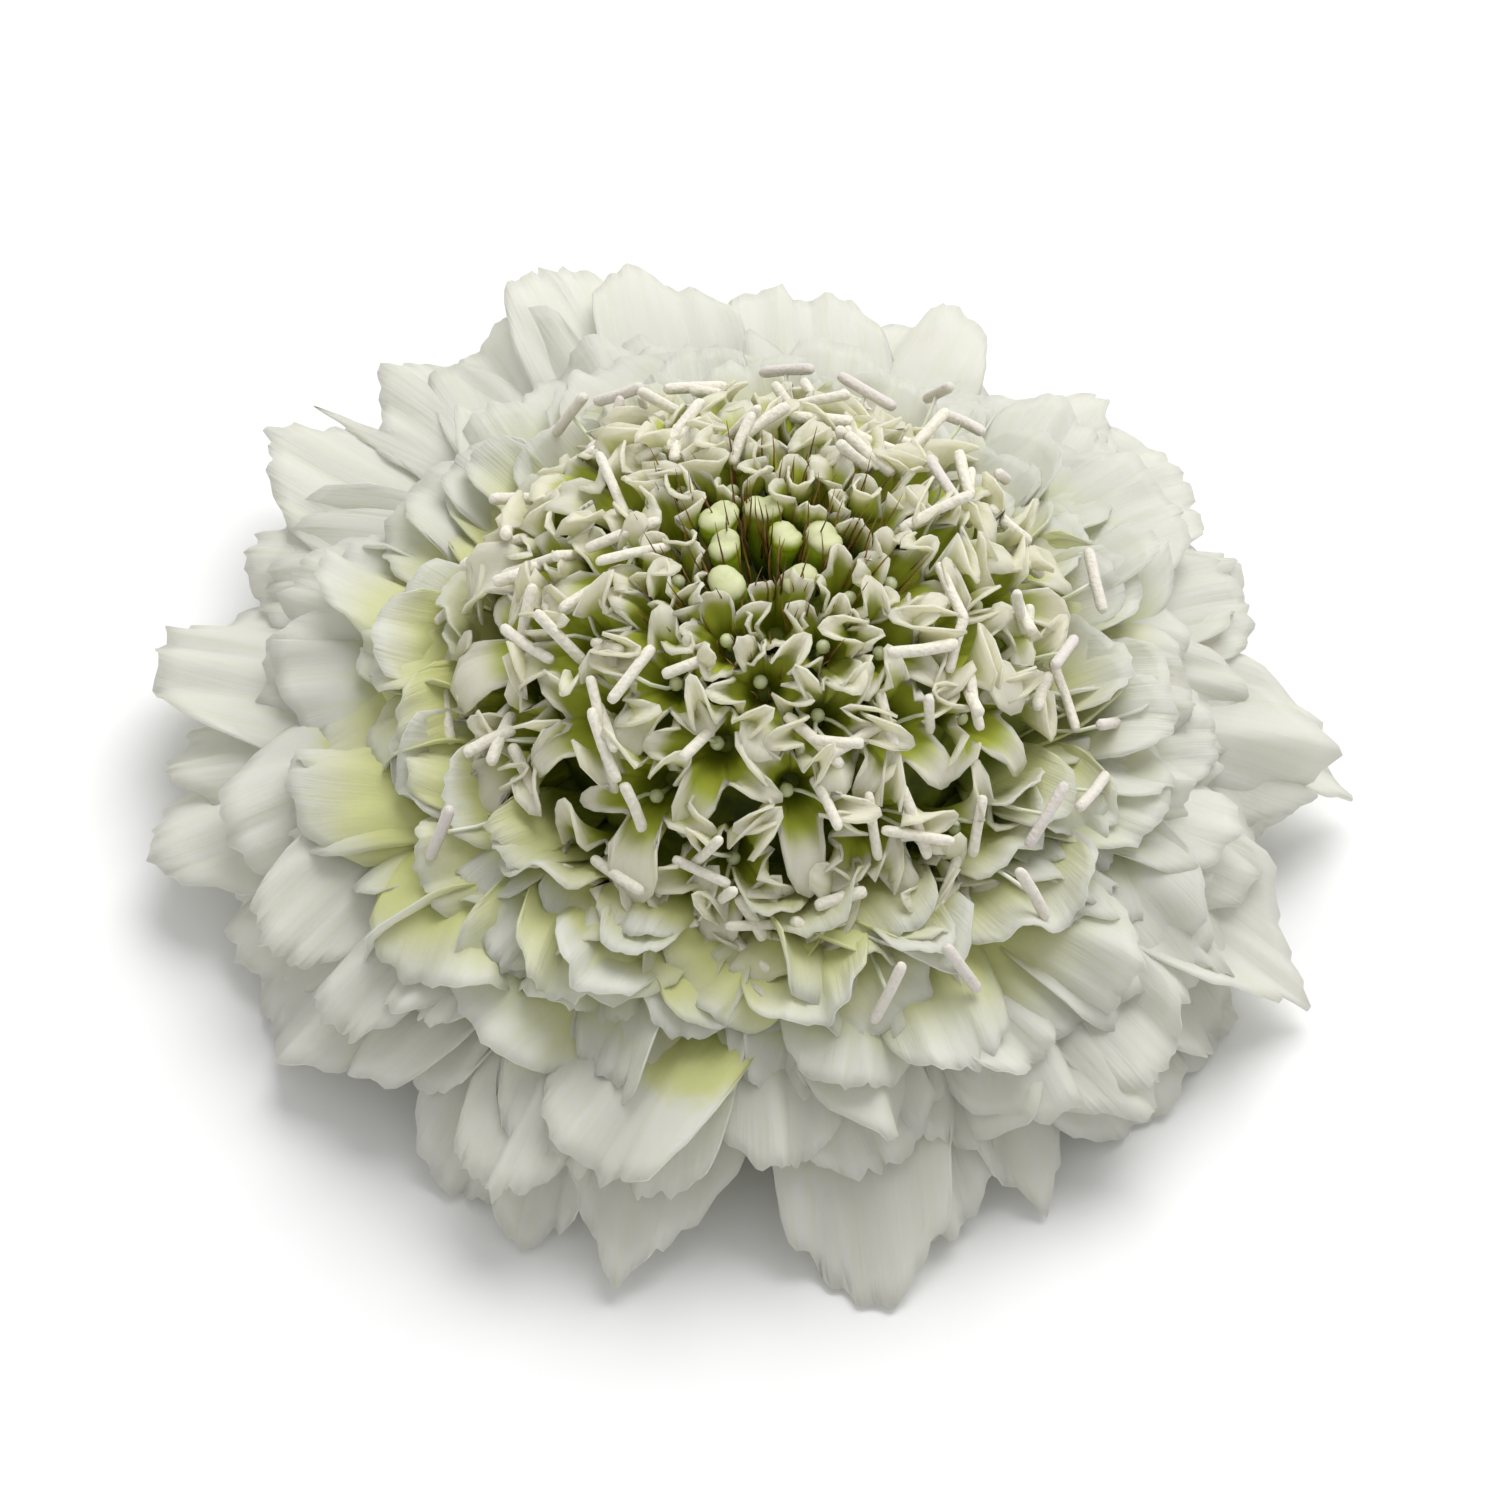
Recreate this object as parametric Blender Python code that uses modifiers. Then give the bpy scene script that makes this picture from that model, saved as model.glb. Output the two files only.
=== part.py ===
"""A white double scabiosa flower head, cut with a short stalk, face up on its outer petals.

Metres, +Z up. The origin is on the surface that the head rests on, below the middle of the head.
A polar angle is measured from straight up at HEAD_CENTRE, and an azimuth from +X towards +Y, in degrees.
The florets stand on three collars of packed floret tubes, which lie round the green receptacle.
"""

import math
import random
from collections import namedtuple

import bmesh
import bpy
from mathutils import Matrix, Vector

# Driving dimensions
HEAD_CENTRE = Vector((0.0, 0.0, 0.008))
RECEPTACLE_RADIUS = 0.0055
COLLAR_GAP = 0.0003
COLLAR_INSIDE = RECEPTACLE_RADIUS + COLLAR_GAP
RAY_COLLAR = 0.0112
DISC_COLLAR = 0.0126
DISC_COLLAR_END = 66.0
BUD_POLAR = 12.5
DISC_POLAR = 71.0
RAY_POLAR = 106.0
ROUND_STEPS = 14
FAR = 0.06

# Blades of petals and bracts: each runs from its root to its mouth as a narrow claw, and fans out from there
PETAL_THICKNESS = 0.00065
CLAW_HALF_WIDTH = 0.0010
MOUTH_HALF_WIDTH = 0.0026
CLAW_ROWS = 1
NOTCH_SHARE = 0.84
BLUNT_TIP = (-0.24, 0.24)
POINTED_TIP = (0.0,)

Lobe = namedtuple("Lobe", "azimuth reach height width")
Blade = namedtuple("Blade", "root mouth lobes tip_places ruffle phase rows")

# Outer ray florets: azimuth, reach, height and width of each lobe, one line for each floret
OUTER_RAYS = (
    ((2, 0.0295, 0.0030, 0.0098), (25, 0.0272, 0.0040, 0.0084)),
    ((39, 0.0287, 0.0040, 0.0084), (54, 0.0293, 0.0050, 0.0090)),
    ((71, 0.0300, 0.0050, 0.0086), (87, 0.0294, 0.0060, 0.0092)),
    ((101, 0.0302, 0.0078, 0.0070), (111, 0.0306, 0.0068, 0.0070)),
    ((120, 0.0296, 0.0060, 0.0078), (129, 0.0316, 0.0050, 0.0070)),
    ((141, 0.0322, 0.0050, 0.0076), (154, 0.0292, 0.0040, 0.0078)),
    ((167, 0.0312, 0.0040, 0.0092), (184, 0.0302, 0.0030, 0.0086)),
    ((200, 0.0282, 0.0018, 0.0080), (216, 0.0276, 0.0010, 0.0092)),
    ((233, 0.0276, 0.0008, 0.0070), (244, 0.0282, 0.0000, 0.0062)),
    ((257, 0.0280, 0.0000, 0.0084), (267, 0.0232, 0.0018, 0.0070)),
    ((278, 0.0296, 0.0000, 0.0086), (291, 0.0266, 0.0008, 0.0066)),
    ((303, 0.0270, 0.0008, 0.0074), (317, 0.0272, 0.0010, 0.0092)),
    ((330, 0.0264, 0.0016, 0.0078), (342, 0.0286, 0.0020, 0.0082)),
)
OUTER_ROOT_POLAR = 94.0
OUTER_MOUTH = (0.0180, 0.0100)
OUTER_RUFFLE = 0.0011

# Hanging petals under the outer ones, whose tips stand on the surface
HANGING_AZIMUTHS = (12, 62, 108, 148, 192, 238, 284, 328)
HANGING_ROOT_POLAR = 101.0
HANGING_MOUTH = (0.0180, 0.0066)
HANGING_TIP = (0.0264, -0.0002, 0.0074)

# Inner rows of ray florets
RayRow = namedtuple("RayRow", "florets first_azimuth root_polar mouth reach height ruffle")
INNER_RAY_ROWS = (
    RayRow(9, 8.0, 87.0, (0.0175, 0.0118), 0.0254, 0.0088, 0.0009),
    RayRow(8, 5.5, 81.0, (0.0158, 0.0124), 0.0217, 0.0114, 0.0007),
    RayRow(7, 41.0, 76.0, (0.0142, 0.0124), 0.0184, 0.0131, 0.0005),
)
SIDE_LOBE_REACH = 0.94
SIDE_LOBE_PLACE = 0.31
ROOT_DEPTH = 0.0012

# Disc florets and buds, on the spiral of a seed head
GOLDEN_ANGLE = 137.508
SPIRAL_START = 122.5
LAST_FLORET_POLAR = 62.0
FIRST_BUD = 2
BUDS = 9
BUD_TOPS = (0.0152, 0.0159)
BUD_RADII = (0.00072, 0.00088)
BUD_STALK_RADIUS = 0.0007
BUD_SIDES = 6
DISC_FLORETS = 48
DISC_MOUTH_DISTANCE = 0.0158
CUP_ROOT_RADIUS = 0.0009
CUP_LOBE_RADIUS = 0.0028
CUP_NOTCH_RADIUS = 0.0019
CUP_DEPTH = 0.0022
CUP_NOTCH_DROP = 0.0007
CUP_SIDES = 10
YOUNGEST_CUP_SHARE = 0.50
FULL_SIZE_POLAR = 45.0

# Anthers on their filaments
FIRST_FLORET_WITH_ANTHER = 16
ANTHER_RADIUS = 0.00046
ANTHER_LENGTH = 0.0035
ANTHER_DISTANCE = 0.0176
ANTHER_TILT = 0.5
FILAMENT_RADIUS = 0.00038

# Stalk, receptacle and bracts
STALK_RADIUS = 0.0012
STALK_END = 0.0010
BRACT_ROWS = ((7, 0.0152, 0.0042, 0.0036, 0.0), (7, 0.0112, 0.0036, 0.0030, 25.7))
BRACT_THICKNESS = 0.0006
BRACT_ROOT = (0.0034, 0.0044)
BRACT_HALF_WIDTH = 0.0013
BRACT_ARCH = 0.0004

SHARP_ANGLE = math.radians(38)
SEED = 27


def clear_scene():
    for obj in list(bpy.data.objects):
        bpy.data.objects.remove(obj)


def new_material(name, colour, roughness):
    material = bpy.data.materials.new(name)
    material.use_nodes = True
    shader = material.node_tree.nodes["Principled BSDF"]
    shader.inputs["Base Color"].default_value = (*colour, 1.0)
    shader.inputs["Roughness"].default_value = roughness
    shader.inputs["Metallic"].default_value = 0.0
    return material


def new_object(name, mesh, collection):
    obj = bpy.data.objects.new(name, mesh)
    collection.objects.link(obj)
    return obj


def object_from(name, bm, collection):
    mesh = bpy.data.meshes.new(name)
    bm.to_mesh(mesh)
    bm.free()
    return new_object(name, mesh, collection)


# Directions and places on the head


def directions(polar, azimuth):
    """The ways out of the head, down its flank and round it, at that place."""
    p, a = math.radians(polar), math.radians(azimuth)
    out = Vector((math.sin(p) * math.cos(a), math.sin(p) * math.sin(a), math.cos(p)))
    down = Vector((math.cos(p) * math.cos(a), math.cos(p) * math.sin(a), -math.sin(p)))
    side = Vector((-math.sin(a), math.cos(a), 0.0))
    return out, down, side


def at(azimuth, radius, height):
    a = math.radians(azimuth)
    return Vector((radius * math.cos(a), radius * math.sin(a), height))


def spiral_place(number):
    """The polar angle and azimuth of a floret on the spiral: the florets grow with their number."""
    whole = 1 - math.cos(math.radians(LAST_FLORET_POLAR))
    buds = 1 - math.cos(math.radians(BUD_POLAR))
    last = BUDS + DISC_FLORETS
    curve = (whole / last - buds / BUDS) / (last - BUDS)
    slope = buds / BUDS - curve * BUDS
    place = number + 0.5
    polar = math.degrees(math.acos(1 - slope * place - curve * place**2))
    return polar, (SPIRAL_START + number * GOLDEN_ANGLE) % 360


# Blades of petals and bracts


def rib_ends(blade):
    """The ends of the blade's ribs, side by side: the tips of its lobes, and the sides and notches beside them."""
    first, last = blade.lobes[0], blade.lobes[-1]
    half_angles = [math.degrees(lobe.width / 2 / lobe.reach) for lobe in blade.lobes]
    notches = [(one.azimuth + other.azimuth) / 2 for one, other in zip(blade.lobes, blade.lobes[1:])]
    sides = [first.azimuth - half_angles[0], *notches, last.azimuth + half_angles[-1]]
    ends = []
    for lobe, half, side in zip(blade.lobes, half_angles, sides):
        ends.append(at(side, lobe.reach * NOTCH_SHARE, lobe.height))
        ends += [at(lobe.azimuth + 2 * half * place, lobe.reach, lobe.height) for place in blade.tip_places]
    ends.append(at(sides[-1], last.reach * NOTCH_SHARE, last.height))
    return ends


def blade_solid(blade, collection, claw=CLAW_HALF_WIDTH, mouth=MOUTH_HALF_WIDTH, thickness=PETAL_THICKNESS):
    """A petal blade: it arches over its mouth, fans out to its lobes and is waved at its edge."""
    ends = rib_ends(blade)
    ribs = len(ends) - 1
    sideways = (ends[-1] - ends[0]).normalized()
    facing = sideways.cross(ends[0] - blade.mouth).normalized()
    facing *= math.copysign(1, facing.z)
    spare = []
    bm = bmesh.new()
    bmesh.ops.create_grid(bm, x_segments=ribs, y_segments=blade.rows, size=1.0)
    for vert in bm.verts:
        across, along = vert.co.x, (vert.co.y + 1) / 2
        root = blade.root + sideways * across * claw
        bend = blade.mouth + sideways * across * mouth
        end = ends[round((across + 1) / 2 * ribs)]
        wave = math.sin(2 * math.pi * (1.4 * across + blade.phase))
        vert.co = (1 - along) ** 2 * root + 2 * along * (1 - along) * bend + along**2 * end
        vert.co += facing * blade.ruffle * along**2 * wave
        if abs(across) not in (0.0, 1.0) and along * blade.rows < CLAW_ROWS + 0.5:
            spare.append(vert)
    bmesh.ops.dissolve_verts(bm, verts=spare)
    bmesh.ops.triangulate(bm, faces=bm.faces[:])
    obj = object_from("blade", bm, collection)
    wall = obj.modifiers.new("thickness", "SOLIDIFY")
    wall.thickness = thickness
    wall.offset = 0.0
    return obj


# Round rods, cups and turned shapes


def place_along(bm, start, end):
    """Turns and moves what lies along +Z from the origin so that it runs from start to end."""
    turn = (end - start).to_track_quat("Z", "Y").to_matrix().to_4x4()
    bmesh.ops.transform(bm, matrix=Matrix.Translation(start) @ turn, verts=bm.verts[:])


def rod(start, end, radius_start, radius_end, sides, collection):
    bm = bmesh.new()
    length = (end - start).length
    bmesh.ops.create_cone(
        bm, cap_ends=True, segments=sides, radius1=radius_start, radius2=radius_end, depth=length
    )
    bmesh.ops.translate(bm, vec=(0, 0, length / 2), verts=bm.verts[:])
    place_along(bm, start, end)
    return object_from("rod", bm, collection)


def cup_solid(start, end, size, collection):
    """A five-lobed disc floret: a funnel on its tube, with a sunk throat."""
    bm = bmesh.new()
    length = (end - start).length
    bmesh.ops.create_cone(
        bm, cap_ends=True, segments=CUP_SIDES, radius1=CUP_ROOT_RADIUS, radius2=CUP_LOBE_RADIUS, depth=length
    )
    bmesh.ops.translate(bm, vec=(0, 0, length / 2), verts=bm.verts[:])
    top = max(bm.faces, key=lambda face: face.calc_center_median().z)
    for number, vert in enumerate(top.verts):
        radius = (CUP_LOBE_RADIUS if number % 2 else CUP_NOTCH_RADIUS) * size
        flat = Vector((vert.co.x, vert.co.y, 0)).normalized() * radius
        drop = 0.0 if number % 2 else CUP_NOTCH_DROP
        vert.co = (flat.x, flat.y, length - drop)
    throat = bmesh.ops.poke(bm, faces=[top])["verts"][0]
    throat.co = (0, 0, length - CUP_DEPTH)
    place_along(bm, start, end)
    return object_from("cup", bm, collection)


def turned(name, profile, collection):
    """A closed outline in the XZ plane, turned about the Z axis. Both ends may lie on the axis."""
    bm = bmesh.new()
    verts = [bm.verts.new((x, 0, z)) for x, z in profile]
    for first, second in zip(verts, verts[1:]):
        bm.edges.new((first, second))
    if profile[0][0] > 0:
        bm.edges.new((verts[-1], verts[0]))
    obj = object_from(name, bm, collection)
    screw = obj.modifiers.new("turn", "SCREW")
    screw.steps = screw.render_steps = ROUND_STEPS
    screw.use_merge_vertices = True
    screw.merge_threshold = 0.00001
    return obj


def arc(radius, polar_from, polar_to, steps, centre_z=HEAD_CENTRE.z):
    """Points of an arc round the head's centre, as radius and height."""
    polars = [polar_from + (polar_to - polar_from) * k / steps for k in range(steps + 1)]
    return [(radius * math.sin(math.radians(p)), centre_z + radius * math.cos(math.radians(p))) for p in polars]


def cone_region(polar, upward, lift, collection):
    """A cutter: all the space above, or below, a cone about +Z through the head's centre, moved up by lift."""
    edge = (FAR * math.sin(math.radians(polar)), HEAD_CENTRE.z + lift + FAR * math.cos(math.radians(polar)))
    end = HEAD_CENTRE.z + (FAR if upward else -FAR)
    apex = (0.0, HEAD_CENTRE.z + lift)
    outline = [(0.0, end), (edge[0], end), edge, apex]
    if not upward:
        outline.reverse()
    return turned("cone", outline, collection)


# Joining


def closed_body(bm):
    """Keeps the largest closed shell: loose scraps go, and a sealed hollow is filled by dropping its wall."""
    left = set(bm.faces)
    shells = []
    while left:
        stack = [left.pop()]
        shell = set(stack)
        while stack:
            for edge in stack.pop().edges:
                for face in edge.link_faces:
                    if face in left:
                        left.remove(face)
                        shell.add(face)
                        stack.append(face)
        shells.append(shell)

    def volume(shell):
        return sum(
            loop_a.vert.co.dot(loop_b.vert.co.cross(loop_c.vert.co))
            for face in shell
            for loop_a, loop_b, loop_c in [face.loops[:]]
        )

    keep = max(shells, key=volume)
    bmesh.ops.delete(bm, geom=[f for f in bm.faces if f not in keep], context="FACES")


def boolean(obj, operation, other):
    cut = obj.modifiers.new(operation.lower(), "BOOLEAN")
    cut.operation = operation
    cut.solver = "MANIFOLD"
    if isinstance(other, bpy.types.Collection):
        cut.operand_type = "COLLECTION"
        cut.collection = other
    else:
        cut.object = other


def join(name, base, pieces, cutters, material, part_collection):
    """One solid of base and the pieces of a collection, less the cutters. The pieces are then removed."""
    boolean(base, "UNION", pieces)
    for cutter in cutters:
        cutter.hide_render = True
        cutter.display_type = "WIRE"
        boolean(base, "DIFFERENCE", cutter)
    graph = bpy.context.evaluated_depsgraph_get()
    mesh = bpy.data.meshes.new_from_object(base.evaluated_get(graph))
    bm = bmesh.new()
    bm.from_mesh(mesh)
    bmesh.ops.triangulate(bm, faces=bm.faces[:])
    closed_body(bm)
    bm.to_mesh(mesh)
    bm.free()
    mesh.shade_smooth()
    mesh.set_sharp_from_angle(angle=SHARP_ANGLE)
    mesh.materials.clear()
    mesh.materials.append(material)
    for old in [base, *pieces.objects, *cutters]:
        bpy.data.objects.remove(old)
    bpy.data.collections.remove(pieces)
    return new_object(name, mesh, part_collection)


def new_collection(name):
    collection = bpy.data.collections.new(name)
    bpy.context.scene.collection.children.link(collection)
    return collection


def collar(name, radius, polar_from, polar_to, collection):
    """A band of packed floret tubes round the receptacle."""
    outline = arc(radius, polar_from, polar_to, 4)
    if polar_from > 0:
        outline += arc(COLLAR_INSIDE, polar_to, polar_from, 3)
    else:
        outline += arc(COLLAR_INSIDE, polar_to, 0, 3)
    return turned(name, outline, collection)


# Ray florets


def ray_root(azimuth, polar):
    """Where a ray floret leaves its collar, a little under the surface."""
    return HEAD_CENTRE + directions(polar, azimuth)[0] * (RAY_COLLAR - ROOT_DEPTH)


def outer_blades(draw):
    """The blades of the outer ray florets, and the single petals that hang under them."""
    blades = []
    for lobes in OUTER_RAYS:
        lobes = [Lobe(*lobe) for lobe in lobes]
        middle = sum(lobe.azimuth for lobe in lobes) / len(lobes)
        root = ray_root(middle, OUTER_ROOT_POLAR)
        blades.append(Blade(root, at(middle, *OUTER_MOUTH), lobes, BLUNT_TIP, OUTER_RUFFLE, draw.random(), 4))
    for azimuth in HANGING_AZIMUTHS:
        reach, height, width = HANGING_TIP
        lobes = [Lobe(azimuth, reach, height, width)]
        root = ray_root(azimuth, HANGING_ROOT_POLAR)
        blades.append(Blade(root, at(azimuth, *HANGING_MOUTH), lobes, BLUNT_TIP, 0.0, 0.0, 3))
    return blades


def inner_blades(draw):
    """The three-lobed blades of the inner ray florets, row by row."""
    blades = []
    for row in INNER_RAY_ROWS:
        step = 360.0 / row.florets
        for number in range(row.florets):
            middle = row.first_azimuth + step * number
            lobes = []
            for side in (-1, 0, 1):
                reach = row.reach * (SIDE_LOBE_REACH if side else 1.0) * draw.uniform(0.95, 1.04)
                height = row.height + draw.uniform(-0.0006, 0.0006)
                width = math.radians(step) * SIDE_LOBE_PLACE * reach
                lobes.append(Lobe(middle + side * step * SIDE_LOBE_PLACE, reach, height, width))
            root = ray_root(middle, row.root_polar)
            mouth = at(middle, *row.mouth)
            blades.append(Blade(root, mouth, lobes, BLUNT_TIP, row.ruffle, draw.random(), 3))
    return blades


def make_ray_florets(collection, cutters, material):
    draw = random.Random(SEED)
    pieces = new_collection("ray pieces")
    for blade in outer_blades(draw) + inner_blades(draw):
        blade_solid(blade, pieces)
    base = collar("ray collar", RAY_COLLAR, DISC_POLAR + 1.0, RAY_POLAR, collection)
    above = cone_region(DISC_POLAR, True, -COLLAR_GAP, cutters)
    floor = rod(Vector((0, 0, -FAR)), Vector((0, 0, 0)), FAR, FAR, ROUND_STEPS, cutters)
    return join("ray_florets", base, pieces, [above, floor], material, collection)


# Disc florets


def disc_florets():
    """The polar angle and azimuth of each disc floret, from the buds outwards."""
    return [spiral_place(number) for number in range(BUDS, BUDS + DISC_FLORETS)]


def make_disc_florets(collection, cutters, material):
    draw = random.Random(SEED + 1)
    pieces = new_collection("disc pieces")
    for number, (polar, azimuth) in enumerate(disc_florets(), BUDS):
        out, down, side = directions(polar, azimuth)
        grown = min(1.0, (polar - BUD_POLAR) / (FULL_SIZE_POLAR - BUD_POLAR))
        size = YOUNGEST_CUP_SHARE + (1 - YOUNGEST_CUP_SHARE) * grown
        mouth = HEAD_CENTRE + out * DISC_MOUTH_DISTANCE
        cup_solid(HEAD_CENTRE + out * (DISC_COLLAR - ROOT_DEPTH), mouth, size, pieces)
        turn = draw.uniform(0, 2 * math.pi)
        tilt = draw.uniform(-ANTHER_TILT, ANTHER_TILT)
        if number < FIRST_FLORET_WITH_ANTHER:
            continue
        middle = HEAD_CENTRE + out * ANTHER_DISTANCE
        along = (down * math.cos(turn) + side * math.sin(turn) + out * tilt).normalized() * ANTHER_LENGTH / 2
        rod(middle - along, middle + along, ANTHER_RADIUS, ANTHER_RADIUS, 4, pieces)
        rod(mouth - out * (CUP_DEPTH + 0.0005), middle, FILAMENT_RADIUS, FILAMENT_RADIUS, 3, pieces)
    base = collar("disc collar", DISC_COLLAR, BUD_POLAR + 1.0, DISC_COLLAR_END, collection)
    below = cone_region(DISC_POLAR, False, 0.0, cutters)
    above = cone_region(BUD_POLAR, True, -COLLAR_GAP, cutters)
    return join("disc_florets", base, pieces, [below, above], material, collection)


# Buds in the middle


def make_centre_buds(collection, cutters, material):
    pieces = new_collection("bud pieces")
    for number in range(FIRST_BUD, BUDS):
        out = directions(*spiral_place(number))[0]
        grown = number / BUDS
        top = HEAD_CENTRE + out * (BUD_TOPS[0] + (BUD_TOPS[1] - BUD_TOPS[0]) * grown)
        radius = BUD_RADII[0] + (BUD_RADII[1] - BUD_RADII[0]) * grown
        shoulder = top - out * radius
        root = HEAD_CENTRE + out * (DISC_COLLAR - ROOT_DEPTH)
        rod(root, shoulder, BUD_STALK_RADIUS, radius, BUD_SIDES, pieces)
        rod(shoulder - out * radius / 4, top, radius * 0.96, radius * 0.45, BUD_SIDES, pieces)
    base = collar("bud collar", DISC_COLLAR, 0.0, BUD_POLAR - 1.0, collection)
    outside = cone_region(BUD_POLAR, False, 0.0, cutters)
    return join("centre_buds", base, pieces, [outside], material, collection)


# Stalk, receptacle and bracts


def make_stalk_and_bracts(collection, material):
    pieces = new_collection("bracts")
    for count, reach, width, height, start in BRACT_ROWS:
        for number in range(count):
            azimuth = start + 360.0 / count * number
            lobes = [Lobe(azimuth, reach, height, width)]
            mouth = at(azimuth, reach / 2, height + BRACT_ARCH)
            bract = Blade(at(azimuth, *BRACT_ROOT), mouth, lobes, POINTED_TIP, 0.0, 0.0, 2)
            blade_solid(bract, pieces, BRACT_HALF_WIDTH, BRACT_HALF_WIDTH, BRACT_THICKNESS)
    outline = [
        *arc(RECEPTACLE_RADIUS, 0, 112, 6),
        (0.0042, 0.0048),
        (0.0022, 0.0038),
        (STALK_RADIUS, 0.0028),
        (STALK_RADIUS, STALK_END),
        (0.0, STALK_END),
    ]
    base = turned("receptacle", outline, collection)
    return join("stalk_and_bracts", base, pieces, [], material, collection)


def main():
    clear_scene()
    parts = new_collection("scabiosa_flower_head")
    cutters = new_collection("cutters")
    petal_white = new_material("petal white", (0.80, 0.81, 0.72), 0.6)
    floret_cream = new_material("floret cream", (0.70, 0.71, 0.52), 0.6)
    bud_green = new_material("bud green", (0.34, 0.42, 0.10), 0.55)
    leaf_green = new_material("leaf green", (0.16, 0.25, 0.07), 0.65)
    make_ray_florets(parts, cutters, petal_white)
    make_disc_florets(parts, cutters, floret_cream)
    make_centre_buds(parts, cutters, bud_green)
    make_stalk_and_bracts(parts, leaf_green)


main()
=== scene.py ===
import math
import random

import bmesh
import bpy
from mathutils import Matrix, Vector, noise


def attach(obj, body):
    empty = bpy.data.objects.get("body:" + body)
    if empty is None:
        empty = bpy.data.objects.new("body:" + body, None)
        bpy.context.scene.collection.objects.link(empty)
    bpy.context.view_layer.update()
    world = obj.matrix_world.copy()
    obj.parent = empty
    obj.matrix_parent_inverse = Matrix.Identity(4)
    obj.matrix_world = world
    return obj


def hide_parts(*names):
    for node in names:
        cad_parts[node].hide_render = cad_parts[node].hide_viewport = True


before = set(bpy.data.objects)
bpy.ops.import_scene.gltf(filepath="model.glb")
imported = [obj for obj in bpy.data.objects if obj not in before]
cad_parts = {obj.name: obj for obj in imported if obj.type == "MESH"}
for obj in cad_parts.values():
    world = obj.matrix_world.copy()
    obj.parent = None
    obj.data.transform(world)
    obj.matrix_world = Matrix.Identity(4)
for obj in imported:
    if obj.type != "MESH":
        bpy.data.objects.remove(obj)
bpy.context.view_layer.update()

# A white double scabiosa head, face up. Lengths are millimetres until they reach a mesh, angles are degrees.
# A polar angle is measured from straight up at the head's middle, an azimuth from +X towards +Y.
mm = 0.001
head = {
    "middle": Vector((0.0, 0.0, 8.0)),
    "goldenAngle": 137.508,
    "spiralStart": 122.5,
    "firstBud": 2,
    "buds": 9,
    "budPolar": 12.5,
    "lastFloret": 57,
    "lastPolar": 62.0,
    "collarRadius": 10.2,  # where the ray petals are rooted
    "floorGap": 0.25,
}


def outDownSide(polar, azimuth):
    p, a = math.radians(polar), math.radians(azimuth)
    out = Vector((math.sin(p) * math.cos(a), math.sin(p) * math.sin(a), math.cos(p)))
    down = Vector((math.cos(p) * math.cos(a), math.cos(p) * math.sin(a), -math.sin(p)))
    return out, down, Vector((-math.sin(a), math.cos(a), 0.0))


def ringPoint(azimuth, radius, height):
    a = math.radians(azimuth)
    return Vector((radius * math.cos(a), radius * math.sin(a), height))


def spiralPlace(number):  # polar angle and azimuth of a floret; the florets grow with their number
    whole = 1 - math.cos(math.radians(head["lastPolar"]))
    young = 1 - math.cos(math.radians(head["budPolar"]))
    last, buds = head["lastFloret"], head["buds"]
    curve = (whole / last - young / buds) / (last - buds)
    slope = young / buds - curve * buds
    place = number + 0.5
    polar = math.degrees(math.acos(1 - slope * place - curve * place * place))
    return polar, (head["spiralStart"] + number * head["goldenAngle"]) % 360


def smooth(low, high, value):
    share = min(1.0, max(0.0, (value - low) / (high - low)))
    return share * share * (3 - 2 * share)


class Value:  # a shader socket that can stand in a Python sum
    def __init__(self, finish, socket):
        self.finish = finish
        self.socket = socket

    def combine(self, operation, *terms):
        return self.finish.node("Math", {"operation": operation}, dict(enumerate(terms)))

    def __add__(self, other):
        return self.combine("ADD", self, other)

    def __sub__(self, other):
        return self.combine("SUBTRACT", self, other)

    def __mul__(self, other):
        return self.combine("MULTIPLY", self, other)

    def __radd__(self, other):
        return self.combine("ADD", other, self)

    def __rsub__(self, other):
        return self.combine("SUBTRACT", other, self)

    def __rmul__(self, other):
        return self.combine("MULTIPLY", other, self)

    def ramp(self, low, high):  # 0 below low and 1 above high
        values = {"Value": self, "From Min": low, "From Max": high}
        return self.finish.node("MapRange", {"interpolation_type": "SMOOTHSTEP"}, values)


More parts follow.
